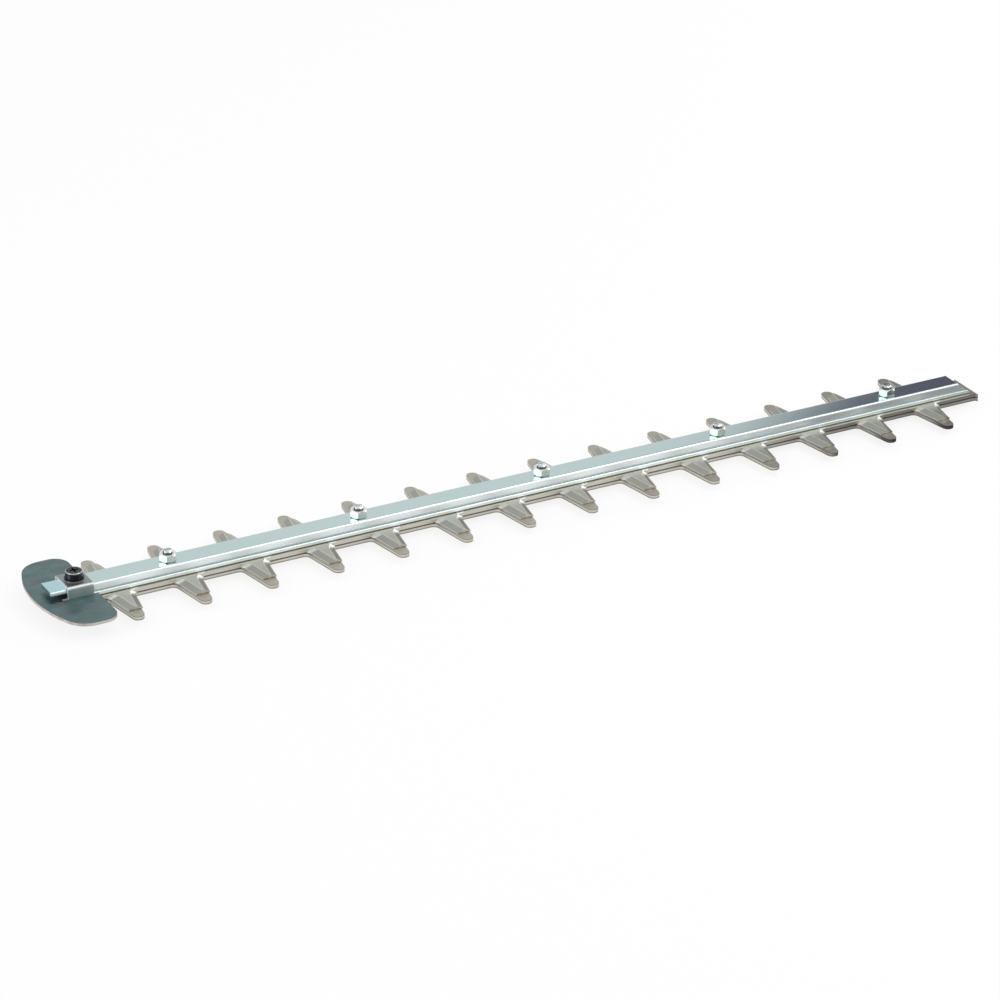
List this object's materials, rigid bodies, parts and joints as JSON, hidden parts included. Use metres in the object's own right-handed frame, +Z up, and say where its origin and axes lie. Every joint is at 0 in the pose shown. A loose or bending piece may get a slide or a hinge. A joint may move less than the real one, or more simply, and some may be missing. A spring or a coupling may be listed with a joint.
{
  "type": "hedge trimmer blade",
  "caption": "Double-sided reciprocating hedge trimmer blade: two toothed shear blades slide under a pressed guide bar with screw guides and a rounded tip guard.",
  "frame": {"origin": "middle of the part's bounding box, on the plane of the screw heads it rests on", "axes": "+X from the guarded tip to the machine end, +Y across the teeth, +Z up through the nuts"},
  "size_m": [0.5422, 0.074, 0.02],
  "materials": {
    "ground_steel": "satin, ground",
    "zinc_bar": "bright bluish zinc",
    "guard_steel": "dark satin",
    "black_steel": "black oxide",
    "zinc_fastener": "bright zinc"
  },
  "bodies": {
    "guide": {"guide_bar": "zinc_bar", "tip_plate": "guard_steel", "tip_stirrup": "guard_steel", "tip_washer": "black_steel", "tip_spring_washer": "black_steel", "tip_screw": "black_steel", "tip_nut": "zinc_fastener", "blade_screw_1": "zinc_fastener", "blade_washer_1": "zinc_fastener", "blade_sleeve_1": "zinc_fastener", "blade_nut_1": "zinc_fastener", "blade_screw_2": "zinc_fastener", "blade_washer_2": "zinc_fastener", "blade_sleeve_2": "zinc_fastener", "blade_nut_2": "zinc_fastener", "blade_screw_3": "zinc_fastener", "blade_washer_3": "zinc_fastener", "blade_sleeve_3": "zinc_fastener", "blade_nut_3": "zinc_fastener", "blade_screw_4": "zinc_fastener", "blade_washer_4": "zinc_fastener", "blade_sleeve_4": "zinc_fastener", "blade_nut_4": "zinc_fastener", "blade_screw_5": "zinc_fastener", "blade_washer_5": "zinc_fastener", "blade_sleeve_5": "zinc_fastener", "blade_nut_5": "zinc_fastener"},
    "upper": {"upper_blade": "ground_steel"},
    "lower": {"lower_blade": "ground_steel"}
  },
  "joints": [
    {"name": "upper_blade_slide", "type": "slide", "parent": "guide", "child": "upper", "axis": [1, 0, 0], "range_m": [-0.0099, 0.0081]},
    {"name": "lower_blade_slide", "type": "slide", "parent": "guide", "child": "lower", "axis": [1, 0, 0], "range_m": [-0.009, 0.009]}
  ]
}
